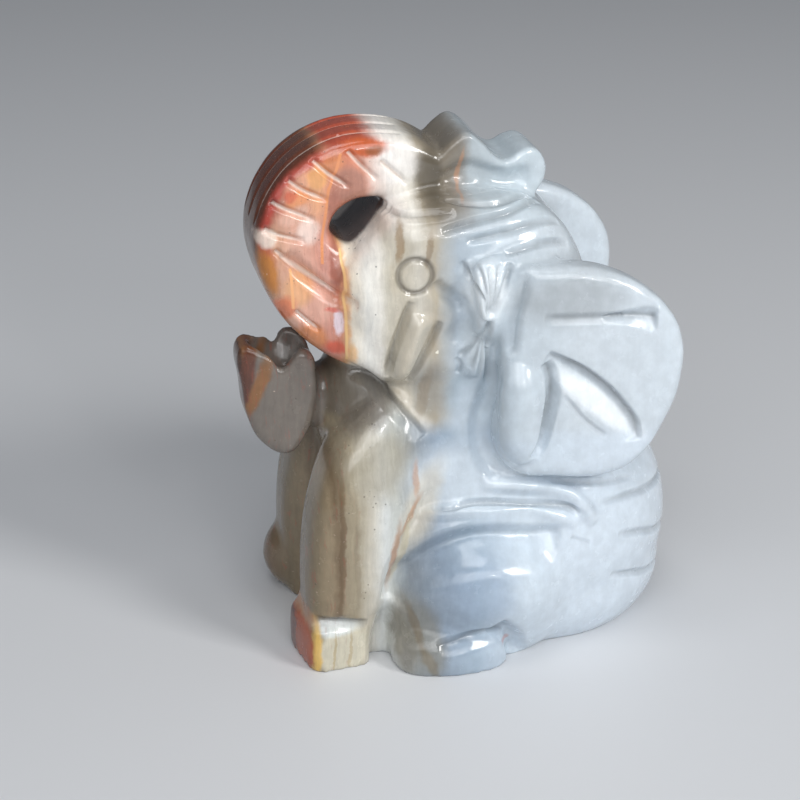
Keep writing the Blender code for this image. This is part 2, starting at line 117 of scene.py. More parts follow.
# The trunk's path as (y, z, half width, half thickness), from inside the head to the tip
TRUNK = [(-1, 33, 8.6, 8), (-5.5, 33.2, 8.2, 7.2), (-9.5, 33, 6.9, 6), (-13.3, 35, 5.5, 4.5),
         (-15.4, 39, 4.9, 3.5), (-13.9, 43, 4.8, 3.1), (-10.4, 45.1, 4.7, 3), (-6, 45, 4.5, 2.9),
         (-2.5, 43.7, 4.2, 2.4)]


def at(x, y, z):
    return Vector((x, y, z)) * UNIT


def through(points, steps):
    """Rows of numbers on a smooth curve through the given rows."""
    rows = np.array(points, float)
    rows = np.vstack([2 * rows[0] - rows[1], rows, 2 * rows[-1] - rows[-2]])
    made = []
    for a, b, c, d in zip(rows, rows[1:], rows[2:], rows[3:]):
        for t in np.arange(steps) / steps:
            bend = 2 * a - 5 * b + 4 * c - d + t * (3 * b - a - 3 * c + d)
            made.append(b + 0.5 * t * (c - a + t * bend))
    made.append(rows[-2])
    return np.array(made)


def ellipsoid(centre, radii):
    mesh = bmesh.new()
    size = Matrix.Diagonal((*[r * UNIT for r in radii], 1))
    place = Matrix.Translation(at(*centre)) @ size
    bmesh.ops.create_icosphere(mesh, subdivisions=SPHERE_LEVEL, radius=1, matrix=place)
    return mesh


def loft(stations, square):
    """A rounded box carried along stations of (x, y, z, half width, half thickness), with round ends.
    Square is the power of its section: 2 is an ellipse, and more is nearer a box."""
    rows = through(stations, LOFT_STEPS)
    ahead = np.gradient(rows[:, :3], axis=0)
    turns = [math.radians(angle) for angle in LOFT_END_ANGLES]
    start = [(-math.cos(a), math.sin(a)) for a in turns]
    end = [(math.cos(a), math.sin(a)) for a in reversed(turns)]
    mesh = bmesh.new()
    rings = []
    for i, row in enumerate(rows):
        forward = Vector(ahead[i]).normalized()
        across = (Vector((1, 0, 0)) - forward * forward.x).normalized()
        out = across.cross(forward)
        steps_here = start * (i == 0) + [(0, 1)] + end * (i == len(rows) - 1)
        for along, shrink in steps_here:
            centre = Vector(row[:3]) + forward * along * min(row[3], row[4])
            ring = []
            for k in range(LOFT_SIDES):
                angle = 2 * math.pi * k / LOFT_SIDES
                c, s = math.cos(angle), math.sin(angle)
                wide = math.copysign(abs(c) ** (2 / square), c) * row[3] * shrink
                thick = math.copysign(abs(s) ** (2 / square), s) * row[4] * shrink
                ring.append(mesh.verts.new((centre + across * wide + out * thick) * UNIT))
            rings.append(ring)
    for lower, upper in zip(rings, rings[1:]):
        for k in range(LOFT_SIDES):
            after = (k + 1) % LOFT_SIDES
            mesh.faces.new((lower[k], lower[after], upper[after], upper[k]))
    mesh.faces.new(rings[0])
    mesh.faces.new(rings[-1])
    bmesh.ops.recalc_face_normals(mesh, faces=mesh.faces)
    return mesh


def slab(outline, half_width, rim, centre=0):
    """A closed smooth side outline thickened to both sides, with a round rim."""
    curve = bpy.data.curves.new("outline", "CURVE")
    curve.dimensions = "2D"
    curve.fill_mode = "BOTH"
    curve.resolution_u = OUTLINE_STEPS
    curve.extrude = (half_width - rim) * UNIT
    curve.bevel_depth = rim * UNIT
    curve.bevel_resolution = RIM_STEPS
    curve.offset = -rim * UNIT
    spline = curve.splines.new("BEZIER")
    spline.bezier_points.add(len(outline) - 1)
    for point, (y, z) in zip(spline.bezier_points, outline):
        point.co = at(y, z, 0)
        point.handle_left_type = point.handle_right_type = "AUTO"
    spline.use_cyclic_u = True
    holder = bpy.data.objects.new("outline", curve)
    mesh = taken(holder)
    bmesh.ops.remove_doubles(mesh, verts=mesh.verts, dist=0.001 * UNIT)
    # the curve's plane becomes the side plane
    turn = Matrix(((0, 0, 1, centre * UNIT), (1, 0, 0, 0), (0, 1, 0, 0), (0, 0, 0, 1)))
    mesh.transform(turn)
    return mesh


def taken(holder):
    """The evaluated mesh of an object that is then removed."""
    bpy.context.scene.collection.objects.link(holder)
    bpy.context.view_layer.update()
    graph = bpy.context.evaluated_depsgraph_get()
    data = bpy.data.meshes.new_from_object(holder.evaluated_get(graph))
    bpy.data.objects.remove(holder)
    mesh = bmesh.new()
    mesh.from_mesh(data)
    bpy.data.meshes.remove(data)
    return mesh


def mesh_object(name, mesh):
    data = bpy.data.meshes.new(name)
    mesh.to_mesh(data)
    return bpy.data.objects.new(name, data)


def fused(parts, rounds, voxel=VOXEL):
    """The parts as one skin: remeshed by voxels and smoothed for some rounds."""
    gathered = bmesh.new()
    for part in parts:
        data = bpy.data.meshes.new("piece")
        part.to_mesh(data)
        gathered.from_mesh(data)
        bpy.data.meshes.remove(data)
    holder = mesh_object("fused", gathered)
    remesh = holder.modifiers.new("fuse", "REMESH")
    remesh.mode = "VOXEL"
    remesh.voxel_size = voxel * UNIT
    smooth = holder.modifiers.new("round", "SMOOTH")
    smooth.factor = 0.5
    smooth.iterations = round(rounds * (ROUNDS_VOXEL / voxel) ** 2)
    return taken(holder)


def less(mesh, cutter):
    """The mesh with the cutter taken away."""
    tool = mesh_object("tool", cutter)
    bpy.context.scene.collection.objects.link(tool)
    holder = mesh_object("cut", mesh)
    boolean = holder.modifiers.new("cut", "BOOLEAN")
    boolean.operation = "DIFFERENCE"
    boolean.solver = "EXACT"
    boolean.object = tool
    made = taken(holder)
    bpy.data.objects.remove(tool)
    return made


def mirrored(mesh):
    """The same mesh on the other side of the elephant."""
    other = mesh.copy()
    other.transform(Matrix.Diagonal((-1, 1, 1, 1)))
    bmesh.ops.reverse_faces(other, faces=other.faces)
    return other


def pair(mesh):
    return [mesh, mirrored(mesh)]


def body():
    """Seat, trunk of the body, thighs and hind feet, rounded together, then the straighter forelegs."""
    parts = [
        ellipsoid((0, 7.2, 9.8), (SEAT_HALF, 13.3, 13.2)),
        ellipsoid((0, 7.3, 5), (SEAT_HALF - 0.6, 12.9, 8.6)),
        ellipsoid((0, -6.5, 21.5), (7, 6.6, 9)),
        loft([(0, 6, 9, SEAT_HALF - 0.9, 11), (0, 2, 17, 10.6, 11.3), (0, 0.5, 25, 9.5, 9.8),
              (0, 1.5, 31, 9.2, 8.8)], 2.2),
        # the stone left standing between the forelegs
        loft([(0, -7, 22, 5, 5), (0, -7, 12, 5, 5), (0, -7, 1, 5.5, 5.4)], 3),
    ]
    parts += pair(ellipsoid((THIGH_OUT, 1, 7.4), (6.5, 10, 9.3)))
    parts += pair(loft([(10.4, 0.4, 1, 3.8, 2.6), (10.4, -2.5, 1.4, 4.3, 3.2), (10.2, -5.2, 1.2, 4, 3)], 2.6))
    parts += pair(ellipsoid((5.4, -3.5, 19.4), (4.5, 6, 6)))
    parts += pair(ellipsoid((4.9, 0.5, 25), (4.3, 6.5, 7.5)))
    # stone left in the gap between each foreleg and thigh
    parts += pair(loft([(6.3, -7.6, 10, 2.2, 1.6), (6.3, -8.3, 5, 2.3, 1.9), (6.3, -8.6, 0, 2.3, 1.9)], 2.6))
    rounded = fused(parts, 14, ROUGH_VOXEL)

    out, half = FORELEG_OUT, FORELEG_HALF
    foreleg = loft([(out - 2.4, -5.4, 22, half - 0.1, 4.4), (out - 1.3, -8, 18.6, half + 0.4, 4.9),
                    (out - 0.5, -10.2, 14.5, half + 0.4, 4.6), (out - 0.1, -11.5, 9.5, half + 0.1, 4.1),
                    (out, -12.3, 4.5, half - 0.1, 3.3), (out + 0.1, -12.6, 1, half - 0.2, 2.6)], 3.6)
    # the left foot is a squared block, its toe turned a little inwards
    left_foot = loft([(0, 0, 4.4, half - 0.4, 2.3), (0, 0, 3.4, half, 2.9), (0, 0, -1, half, 2.9)], 6)
    turn = Matrix.Rotation(math.radians(FOOT_TURN), 4, "Z")
    left_foot.transform(Matrix.Translation(at(out + 0.2, -13.2, 0)) @ turn)
    right_foot = loft([(-out - 0.4, -12, 3, half - 0.3, 3.9), (-out - 0.4, -13.5, 3.4, half - 0.3, 3.8)], 2.3)
    return fused([rounded, left_foot, right_foot] + pair(foreleg), 4, ROUGH_VOXEL)


def head():
    """Flat-sided head with jowls, and the trunk that curls back over it."""
    jowl = slab(JOWL, 3.1, 1.4, centre=HEAD_HALF - 2.9)
    for v in jowl.verts:
        v.co.x += 0.3 * min(0, v.co.y + 5 * UNIT)
    trunk = loft([(0, *station) for station in TRUNK], 5)
    parts = [slab(HEAD, HEAD_HALF, 4), trunk]
    parts += pair(jowl)
    parts += pair(ellipsoid((HEAD_HALF - 1, 3.5, 34.5), (3.4, 5, 5)))
    return fused(parts, 4, ROUGH_VOXEL)


def crown():
    """The trunk's tip, lying on the head: two lobes with a hollow between, narrower to the rear."""
    mesh = slab(CROWN, CROWN_HALF, 0.5)
    for v in mesh.verts:
        v.co.x *= 1 - CROWN_TAPER * max(0, v.co.y / UNIT - 2)
    return mesh


def jaw():
    """The lower lip: a scoop that narrows to its raised tip, with a nick in the rim."""
    scoop = slab(JAW, JAW_HALF, 0.7)
    for v in scoop.verts:
        v.co.x *= 1 - JAW_TAPER * max(0, -15.5 - v.co.y / UNIT)
    scoop = less(scoop, ellipsoid((0, -16.2, 29.5), (2.6, 3, 4.6)))
    nick = bmesh.new()
    bmesh.ops.create_cube(nick, size=NICK_SIZE * UNIT)
    nick.transform(Matrix.Diagonal((5, 0.8, 1.2, 1)) @ Matrix.Rotation(math.radians(45), 4, "X"))
    nick.transform(Matrix.Translation(at(*NICK_PLACE)) @ Matrix.Rotation(math.radians(8), 4, "Y"))
    scoop = less(scoop, nick)
    throat = loft([(0, -15.4, 22.6, 2.6, 2.6), (0, -8, 23, 2.8, 3.4)], 2.6)
    return [scoop, throat]


def ears():
    """Fan-shaped ears that lean out and bow, each with a rolled front edge."""
    mesh = slab(EAR, EAR_HALF_THICKNESS, 1.1, centre=EAR_OUT)
    bmesh.ops.triangulate(mesh, faces=mesh.faces)
    for _ in range(2):
        long_edges = [e for e in mesh.edges if e.calc_length() > UNIT]
        bmesh.ops.subdivide_edges(mesh, edges=long_edges, cuts=1)
        bmesh.ops.triangulate(mesh, faces=mesh.faces)
    (middle_y, middle_z), (bow_y, bow_z) = EAR_MIDDLE, EAR_BOW
    for v in mesh.verts:
        y, z = v.co.y / UNIT, v.co.z / UNIT
        lean = EAR_LEAN * (y - EAR_ROOT)
        v.co.x += (lean - bow_y * (y - middle_y) ** 2 - bow_z * (z - middle_z) ** 2) * UNIT
    out = EAR_OUT + 1.8
    roll = loft([(out - 0.8, 3.2, 29.5, 1, 1.2), (out, 3.3, 26.5, 1.6, 1.9), (out, 3.2, 22.5, 1.6, 2),
                 (out - 0.3, 3.4, 21, 1.5, 1.7)], 2)
    right = mirrored(mesh)
    bmesh.ops.translate(right, verts=right.verts, vec=at(*RIGHT_EAR_SHIFT))
    return [mesh, right] + pair(roll)


def fine_path(points):
    """Rows on a smooth curve through the points, close enough together for a narrow line."""
    rows = np.array(points, float)
    longest = np.linalg.norm(np.diff(rows, axis=0), axis=1).max()
    return through(points, max(8, math.ceil(longest / PATH_STEP)))


def side_rays(points):
    """Rays from the elephant's left towards a side-view path, and the same from its right."""
    path = fine_path(points)
    both = []
    for side in (1, -1):
        inward = Vector((-side, 0, 0))
        both.append(([(at(SIDE_START * side, y, z), inward) for y, z in path], side))
    return both


def back_rays(points):
    """Rays from behind towards a path of (x, z)."""
    return [([(at(x, SIDE_START, z), Vector((0, -1, 0))) for x, z in fine_path(points)], 1)]


def top_rays(points):
    """Rays towards a path on the upper side of the head, as (x, y, height of aim), from above and outside."""
    path = fine_path(points)
    both = []
    for side in (1, -1):
        rays = []
        for x, y, z in path:
            inward = Vector((-0.6 * side, 0, -0.8))
            rays.append((at(side * x, y, z) - inward * TOP_START * UNIT, inward))
        both.append((rays, side))
    return both


def spine_rays(x, first, last):
    """Rays towards the outer side of the trunk, from its first to its last station given."""
    path = through([row[:2] for row in TRUNK], SPINE_STEPS)
    path = path[int(first * SPINE_STEPS) : int(last * SPINE_STEPS) + 1]
    ahead = np.gradient(path, axis=0)
    rays = []
    for (y, z), (dy, dz) in zip(path, ahead):
        inward = Vector((0, -dz, dy)).normalized() * -1
        rays.append((at(x, y, z) - inward * SPINE_START * UNIT, inward))
    return [(rays, 1)]


def stroke(rays, depth, left, right=None, kind="v", ends=(0.15, 0.15), flare=1, line=0):
    """A line to carve, or to raise where the depth is below zero. Left and right are its half widths.
    Ends are the shares of its length that fade out, flare is how wide it starts, and line is how much
    of the carver's scratch it shows."""
    return {"rays": rays, "depth": depth, "left": left, "right": right or left, "kind": kind, "ends": ends,
            "flare": flare, "line": line}


def circle(y, z, radius):
    turns = [2 * math.pi * k / CIRCLE_STEPS for k in range(CIRCLE_STEPS + 1)]
    return [(y + radius * math.cos(a), z + radius * math.sin(a)) for a in turns]


def forms():
    """The wide forms: swellings and hollows."""
    made = []

    def soft(points, depth, left, right=None, **more):
        made.append(stroke(side_rays(points), depth, left, right, kind="soft", **more))

    # the lip under the trunk, the swelling of the mouth, the corner of the eye
    soft([(-16.2, 38.3), (-14.9, 36.6), (-12.4, 34.6), (-10.4, 34)], 0.6, 1.1)
    soft([(-4.9, 33.2), (-6, 30.4), (-6.9, 27)], -0.8, 1.3)
    soft([(-4.1, 36), (-3, 34.9), (-1.4, 33.6)], 0.7, 1.1)
    # the gathered folds between eye and ear stand out, with a hollow on each side
    soft([(0.3, 38.2), (0.55, 33.4), (-0.3, 27)], -0.9, 1.7)
    soft([(0.55, 33.4), (0.5, 35.8), (0.4, 38.2)], -0.6, 2.5, flare=0.3)
    soft([(3.4, 37.4), (2.4, 33.4), (2.1, 30)], 0.7, 1.2)
    soft([(-2.6, 35.6), (-1.4, 33), (-2.4, 30.3)], 0.4, 1.2)
    # the crown's hollow side
    soft([(-2.4, 43.8), (0.4, 44.6), (3.6, 43.2), (6, 43.6)], 0.45, 1.2)
    # behind the jowl
    soft([(1.6, 28.2), (1, 25.5), (0.1, 22.6), (0.4, 20), (1.8, 17.8)], 0.7, 1.3)
    # flank: two ridges that meet at the hip, the valley round the thigh, and the thigh's swelling
    soft([(-5.5, 14.2), (-1.5, 14.9), (3.5, 14.7), (6.6, 14), (9, 12.9)], -0.5, 1)
    soft([(0.2, 17.2), (4.3, 16.7), (7.9, 15.8), (9.4, 14.6), (10.6, 12.6)], -0.7, 1.1)
    soft([(-8.6, 6.4), (-7.3, 9.8), (-4.7, 12.1), (-1.9, 13.2), (1.1, 13.4), (4.5, 12.9), (7.3, 12.2)],
         1.6, 0.9, 4.2)
    soft([(-1.5, 7.2), (1, 7.6), (3.5, 7)], -0.7, 5, ends=(0, 0))
    # the hollow behind the hind foot
    soft([(0.9, 4.8), (2.3, 3.2), (3.2, 1.1), (3.6, -2.5)], 1.1, 1.3, ends=(0.1, 0.1))
    return made


def cuts():
    """The carved lines, sharper than the forms."""
    made = []

    def cut(points, depth=0.42, left=0.45, right=None, **more):
        made.append(stroke(side_rays(points), depth, left, right, **more))

    # slanting cuts round the side of the trunk, from its crest inwards
    for points in ([(-7.7, 45.9), (-6.5, 44.8), (-5.3, 43.6)], [(-10.6, 47), (-9.4, 45.6), (-7.9, 44.2)],
                   [(-13.7, 46.4), (-12.2, 45), (-10.3, 43.7)], [(-15.9, 44.7), (-14.3, 43.6), (-12.3, 42.7)],
                   [(-17.4, 42.8), (-15.6, 41.9), (-13.5, 41)], [(-18.1, 40.4), (-16.6, 39.8), (-14.4, 39.2)],
                   [(-17.2, 38.6), (-15.4, 37), (-13.2, 35.3), (-11.5, 34.2)],
                   [(-15.6, 33), (-14.5, 32), (-13.4, 31.2)]):
        cut(points, 0.5, 0.42, ends=(0.02, 0.3), line=1)
    # three long grooves down its outer side
    for x in (-2.6, 0.1, 2.7):
        made.append(stroke(spine_rays(x, 4.2, 7), 0.3, 0.36, line=1))
    # where the trunk's tip meets the head
    cut([(-7.7, 41.7), (-6, 41.8), (-4, 41.9), (-1.8, 42)], 0.4, 0.5, 0.9, ends=(0.1, 0.7))
    # mouth
    cut([(-6, 34.6), (-6.9, 32.2), (-7.7, 29.8), (-8, 27.2)], 0.75, 0.6, 0.45)
    cut([(-3.3, 32.5), (-4.1, 30.7), (-5.1, 28.7), (-6.1, 26.6)], 0.65, 0.4, 0.6)
    # under the jowl
    cut([(-10.4, 27.1), (-8.6, 26.3), (-6.9, 24.4), (-4.8, 21.8)], 0.8, 0.45, 1.3, ends=(0.1, 0.6))
    # folds between eye and ear, in a fan above and below the waist
    for top in (-1.5, -0.5, 0.5, 1.5, 2.5):
        cut([(top, 38), (0.5 * top + 0.3, 35.6), (0.12 * top + 0.5, 33.5)], 0.44, 0.36)
    for foot in (-1.7, -0.8, 0.1, 1):
        cut([(0.08 * foot + 0.5, 33.1), (0.5 * foot + 0.2, 30.4), (foot, 27.2 - 1.1 * foot)], 0.36, 0.36)
    # a nick on the cheek
    cut([(-1.9, 29.1), (-1.55, 28.3), (-1.8, 27.5)], 0.25, 0.3)
    # wrinkles over the head
    for path in ([(6.3, -2.8, 42.7), (7.1, -0.3, 42.3), (7, 2.4, 42.2), (4.6, 5.6, 42)],
                 [(8.8, -3.2, 40.5), (8.4, -0.2, 41.1), (7.8, 3.1, 41.6), (5.1, 6.3, 41.5)],
                 [(9.1, -1.2, 39.6), (9, 1.2, 40), (8.6, 3.8, 40.3), (6.5, 7.8, 40)],
                 [(9.9, 2.1, 38.5), (9.7, 4, 38.9), (8.9, 6, 39), (7.5, 8.5, 38.3)]):
        made.append(stroke(top_rays(path), 0.4, 0.5))
    # ear: a slit that opens to a pit, and two deep folds
    cut([(5, 33.4), (8.2, 33.4), (12, 33.4)], 0.3, 0.5, 0.8)
    cut([(10, 33.4), (12.6, 33.4), (14.9, 33.2)], 0.75, 1.3, 1.6, flare=0.15, ends=(0.3, 0.08))
    cut([(5.4, 30.2), (8.3, 28.75), (10.5, 27), (12.2, 25.1), (13.3, 23.5), (13.6, 21.7)], 1, 0.4, 2.1)
    cut([(6.9, 26.2), (8.6, 24), (10.7, 22.2)], 0.18, 0.35)
    cut([(5.1, 29.2), (5.6, 28), (5.75, 26), (5.4, 24), (4.9, 21.8), (4.2, 20.4)], 1.1, 0.9, 0.5)
    # flank
    cut([(-4, 15), (-0.1, 15.6), (4.3, 15.2), (7.7, 14.7), (9.2, 14)], 0.45, 0.4, 0.5)
    cut([(6.6, 16.9), (11.5, 16), (14.9, 15.6)], 0.25, 0.4)
    cut([(8.2, 11.7), (9.2, 11.3), (10.2, 10.8)], 0.15, 0.35)
    # hind foot's flat top
    cut([(-4.6, 3.1), (-3, 3.5), (-1, 3.9), (0.9, 4), (1.9, 3.6)], 0.6, 0.5, 1.5)
    # forelegs: two soft edges down each, and the crease over the foot
    cut([(-11.4, 21), (-12.2, 16.3), (-12.6, 7), (-12.7, 5.3)], -0.3, 1.1)
    cut([(-6.3, 15.6), (-7.7, 12.3), (-9.1, 9.6), (-9.8, 5)], -0.3, 1)
    cut([(-15.2, 5.2), (-12.8, 4.9), (-10.2, 4.4)], 0.55, 0.35, 1.2)
    # the eye: a ring drilled round a flat disc
    cut(circle(*EYE_CENTRE, EYE_RADIUS), 0.36, 0.36, ends=(0, 0))
    # ribs across the rump
    for a, b, c, d in ((14.3, 14.2, 13.7, 13.3), (11, 10.3, 9.1, 8.3), (6.9, 6.1, 5, 4.4)):
        path = [(-10.8, a), (-9.3, b), (-6.4, c), (0, d), (6.4, c), (9.3, b), (10.8, a)]
        made.append(stroke(back_rays(path), 0.38, 0.5))
    return made


def refined(skin, lines, margin):
    """The skin with its faces halved near the lines."""
    tree = BVHTree.FromBMesh(skin)
    places = np.array([v.co for v in skin.verts])
    chosen = np.zeros(len(places), bool)
    for line in lines:
        reach = min(max(line["left"], line["right"]), 0.9) + margin
        for rays, _ in line["rays"]:
            hits = [tree.ray_cast(origin, direction) for origin, direction in rays]
            path = np.array([hit[0] for hit in hits if hit[0] is not None])
            low, high = path.min(axis=0) - reach * UNIT, path.max(axis=0) + reach * UNIT
            near = np.flatnonzero(((places > low) & (places < high)).all(axis=1) & ~chosen)
            far = ((places[near, None] - path[None]) ** 2).sum(axis=2).min(axis=1)
            chosen[near[far < (reach * UNIT) ** 2]] = True
    skin.verts.ensure_lookup_table()
    edges = [e for e in skin.edges if chosen[e.verts[0].index] and chosen[e.verts[1].index]]
    bmesh.ops.subdivide_edges(skin, edges=edges, cuts=1, use_grid_fill=True)
    bmesh.ops.triangulate(skin, faces=[f for f in skin.faces if len(f.verts) > 4])
    skin.normal_update()
    return skin


def carve(skin, lines):
    """Moves the skin along its normals by every stroke, and marks how rough and how deep it is there, the depth
    for dullness and painted shade.
    """
    skin.normal_update()
    tree = BVHTree.FromBMesh(skin)
    places = np.array([v.co for v in skin.verts])
    normals = np.array([v.normal for v in skin.verts])
    moved = np.zeros(len(places))
    scratch = np.zeros(len(places))
    dull_shade = np.zeros(len(places))
    for line in lines:
        for rays, side in line["rays"]:
            hits = [tree.ray_cast(origin, direction) for origin, direction in rays]
            hits = [hit for hit in hits if hit[0] is not None]
            path = np.array([hit[0] for hit in hits])
            facing = np.array([hit[1] for hit in hits])
            ahead = np.gradient(path, axis=0)
            widest = max(line["left"], line["right"]) * UNIT
            low, high = path.min(axis=0) - widest, path.max(axis=0) + widest
            near = np.flatnonzero(((places > low) & (places < high)).all(axis=1))
            gaps = places[near, None] - path[None]
            closest = (gaps**2).sum(axis=2).argmin(axis=1)
            gap = gaps[np.arange(len(near)), closest]
            far = np.linalg.norm(gap, axis=1)
            turned = side * (gap * np.cross(facing[closest], ahead[closest])).sum(axis=1)
            along = closest / (len(path) - 1)
            width = np.where(turned > 0, line["left"], line["right"]) * UNIT
            width = width * (line["flare"] + (1 - line["flare"]) * along)
            fall = np.clip(1 - far / width, 0, 1)
            shape = fall * fall * (3 - 2 * fall) if line["kind"] == "soft" else fall
            taper = np.ones(len(near))
            for share, way in zip(line["ends"], (along, 1 - along)):
                if share:
                    taper *= np.clip(way / share, 0, 1) ** 0.5
            same_side = (normals[near] * facing[closest]).sum(axis=1) > 0.1
            moved[near] -= line["depth"] * UNIT * shape * taper * same_side
            scratch[near] = np.maximum(scratch[near], line["line"] * fall * taper * same_side)
            # the bottom of a deep cut is darkened: dull unpolished stone and painted shade
            if line["kind"] == "v" and line["depth"] > 0 and not line["line"]:
                bottom = np.clip(1 - far / (DULL_SHADE_HALF * UNIT), 0, 1) * min(1, line["depth"] / DULL_SHADE_DEPTH)
                dull_shade[near] = np.maximum(dull_shade[near], bottom * taper * same_side)
    layers = [skin.verts.layers.float.get(name) or skin.verts.layers.float.new(name) for name in CUT_MARKS]
    for v, shift, normal, *marks in zip(skin.verts, moved, normals, scratch, dull_shade):
        v.co += Vector(normal * shift)
        for layer, mark in zip(layers, marks):
            v[layer] = max(v[layer], mark)


def hand_polished(skin):
    """Slight unevenness of a surface ground and polished by hand."""
    skin.normal_update()
    for v in skin.verts:
        p = v.co / UNIT
        wave = sum(height * noise.noise(p / length) for height, length in POLISH_WAVES)
        v.co += v.normal * wave * UNIT


def sole_block():
    """A block whose top is the ground the figure stands on."""
    mesh = bmesh.new()
    below = Matrix.Translation(at(0, 0, -GROUND_BLOCK / 2))
    bmesh.ops.create_cube(mesh, size=GROUND_BLOCK * UNIT, matrix=below)
    return mesh


def stone_body():
    """The whole figure: fused, cut flat at the ground, carved, polished and thinned to its triangles."""
    skin = fused([body(), head(), crown()] + jaw() + ears(), 1.6)
    skin = fused([less(skin, sole_block())], 0.4)
    carve(skin, forms())
    skin = refined(skin, cuts(), 0.25)
    carve(skin, cuts())
    hand_polished(skin)
    every_axis = {"use_axis_x": True, "use_axis_y": True, "use_axis_z": True}
    bmesh.ops.smooth_vert(skin, verts=skin.verts, factor=0.5, **every_axis)
    for v in skin.verts:
        if v.co.z < SOLE_GAP * UNIT:
            v.co.z = 0
    bmesh.ops.triangulate(skin, faces=skin.faces)
    count = len(skin.faces)
    print("fine triangles before decimation:", count)
    piece = mesh_object("elephant_stone", skin)
    bpy.context.scene.collection.objects.link(piece)
    piece.data.shade_smooth()
    if count > TRIANGLES:
        fewer = piece.modifiers.new("fewer", "DECIMATE")
        fewer.ratio = TRIANGLES / count
    return piece


def srgb(*values):
    """A colour given as 0 to 255, as the shader takes it."""
    parts = [v / 255 for v in values]
    return (*[p / 12.92 if p <= 0.04045 else ((p + 0.055) / 1.055) ** 2.4 for p in parts], 1)


class Nodes:
    """A short way to write a node tree."""

    def __init__(self, material):
        material.use_nodes = True
        self.tree = material.node_tree

    def add(self, kind, inputs=(), **settings):
        """A new node with these settings; inputs are values or sockets by name or number."""
        node = self.tree.nodes.new(kind)
        for name, value in settings.items():
            setattr(node, name, value)
        for key, value in dict(inputs).items():
            self.put(node.inputs[key], value)
        return node

    def put(self, socket, value):
        if isinstance(value, bpy.types.NodeSocket):
            self.tree.links.new(value, socket)
        else:
            socket.default_value = value

    def math(self, operation, *values):
        return self.add("ShaderNodeMath", enumerate(values), operation=operation).outputs[0]

    def both(self, a, b):
        """The product of two shares."""
        return self.math("MULTIPLY", a, b)

    def off(self, value, middle):
        """How far a value is from a middle one."""
        return self.math("ABSOLUTE", self.math("SUBTRACT", value, middle))

    def scaled_on(self, vector, factors, start):
        """The vector, each axis by its factor, added to a start."""
        inputs = {0: vector, 1: factors, 2: start}
        return self.add("ShaderNodeVectorMath", inputs, operation="MULTIPLY_ADD").outputs[0]

    def times(self, vector, factors):
        return self.add("ShaderNodeVectorMath", {0: vector, 1: factors}, operation="MULTIPLY").outputs[0]

    def range(self, value, low, high, to_low=0.0, to_high=1.0):
        """The value's place between low and high, eased, as a number between two others."""
        node = self.add("ShaderNodeMapRange", {"Value": value, "From Min": low, "From Max": high,
                                               "To Min": to_low, "To Max": to_high})
        node.interpolation_type = "SMOOTHSTEP"
        return node.outputs[0]

    def mix(self, share, a, b):
        """Colour a with this share of b laid over it."""
        node = self.add("ShaderNodeMix", data_type="RGBA")
        self.put(node.inputs["Factor"], share)
        self.put(node.inputs["A"], a)
        self.put(node.inputs["B"], b)
        return node.outputs["Result"]

    def ramp(self, value, stops, low, high):
        """A colour for each value between low and high; stops are (value, colour)."""
        share = self.math("DIVIDE", self.math("SUBTRACT", value, low), high - low)
        node = self.add("ShaderNodeValToRGB", {0: share})
        elements = node.color_ramp.elements
        elements[0].position, elements[1].position = 0, 1
        for place, _ in stops[1:-1]:
            elements.new((place - low) / (high - low))
        for element, (place, colour) in zip(elements, stops):
            element.position = (place - low) / (high - low)
            element.color = srgb(*colour)
        return node.outputs[0]

    def shift(self, vector, pattern, reach):
        """The vector moved by a colour pattern, at most by half the reach."""
        centred = self.add("ShaderNodeVectorMath", {0: pattern, 1: (0.5,) * 3}, operation="SUBTRACT")
        return self.scaled_on(centred.outputs[0], (reach,) * 3, vector)

    def oval(self, vector, y, z, ry, rz, lean=0, heights=None):
        """How far a place in the side view is from (y, z), in half lengths of an oval that leans by degrees.
        Heights is the vector's z moved into y, for the ovals that lean."""
        c, s = math.cos(math.radians(lean)), math.sin(math.radians(lean))
        a = math.hypot(c / ry, s / rz)
        b = s * c * (1 / rz**2 - 1 / ry**2) / a
        d = 1 / (ry * rz * a)
        place = self.scaled_on(vector, (0, a, d), (0, -a * y - b * z, -d * z))
        if lean:
            place = self.scaled_on(heights, (0, b, 0), place)
        return self.add("ShaderNodeVectorMath", {0: place}, operation="LENGTH").outputs["Value"]

    def spot(self, vector, heights, y, z, ry, rz, lean, soft, strength):
        """A soft-edged oval round (y, z) in the side view, as a share from 0 to strength."""
        far = self.oval(vector, y, z, ry, rz, lean, heights)
        return self.range(far, 1 + soft / 2, 1 - soft / 2, 0, strength)

    def segment(self, vector, start, end, half):
        """A thin straight line between two points of the side view, as a share."""
        middle = Vector((0, (start[0] + end[0]) / 2, (start[1] + end[1]) / 2))
        run = Vector((0, end[0] - start[0], end[1] - start[1]))
        reach = run.length / 2
        share = None
        along, across = run.normalized(), run.cross(Vector((1, 0, 0))).normalized()
        for axis, outer, inner in ((along, reach + 0.15, reach - 0.05), (across, half * 2, half * 0.6)):
            place = self.add("ShaderNodeVectorMath", {0: vector, 1: axis}, operation="DOT_PRODUCT")
            near = self.range(self.off(place.outputs["Value"], middle.dot(axis)), outer, inner)
            share = self.both(share, near) if share else near
        return share

    def noise(self, vector, scale, detail=3, rough=0.5, kind="FLOAT"):
        inputs = {"Vector": vector, "Scale": scale, "Detail": detail, "Roughness": rough}
        return self.add("ShaderNodeTexNoise", inputs).outputs["Fac" if kind == "FLOAT" else "Color"]


